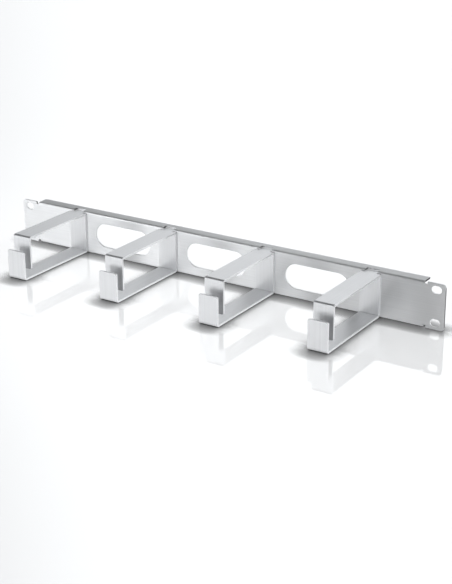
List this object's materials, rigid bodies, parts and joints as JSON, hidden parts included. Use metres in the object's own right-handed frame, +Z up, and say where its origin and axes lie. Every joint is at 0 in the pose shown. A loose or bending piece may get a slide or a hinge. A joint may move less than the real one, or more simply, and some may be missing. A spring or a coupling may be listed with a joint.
{
  "type": "horizontal cable manager",
  "caption": "Flat 19-inch rack panel with folded edges, obround cable openings and open rings of folded strip that carry patch cables along its front.",
  "frame": {"origin": "middle of the panel's back face, centred between the four mounting slots", "axes": "+X to the right along the panel, +Y into the rack, +Z up; the rings stand out towards -Y"},
  "size_m": [0.4826, 0.112, 0.044],
  "materials": {
    "panel_steel": "satin, fine grain along the panel",
    "ring_steel": "satin, fine grain along the strip"
  },
  "bodies": {
    "root": {"front_panel": "panel_steel", "cable_ring_1": "ring_steel", "cable_ring_2": "ring_steel", "cable_ring_3": "ring_steel", "cable_ring_4": "ring_steel"}
  },
  "joints": []
}
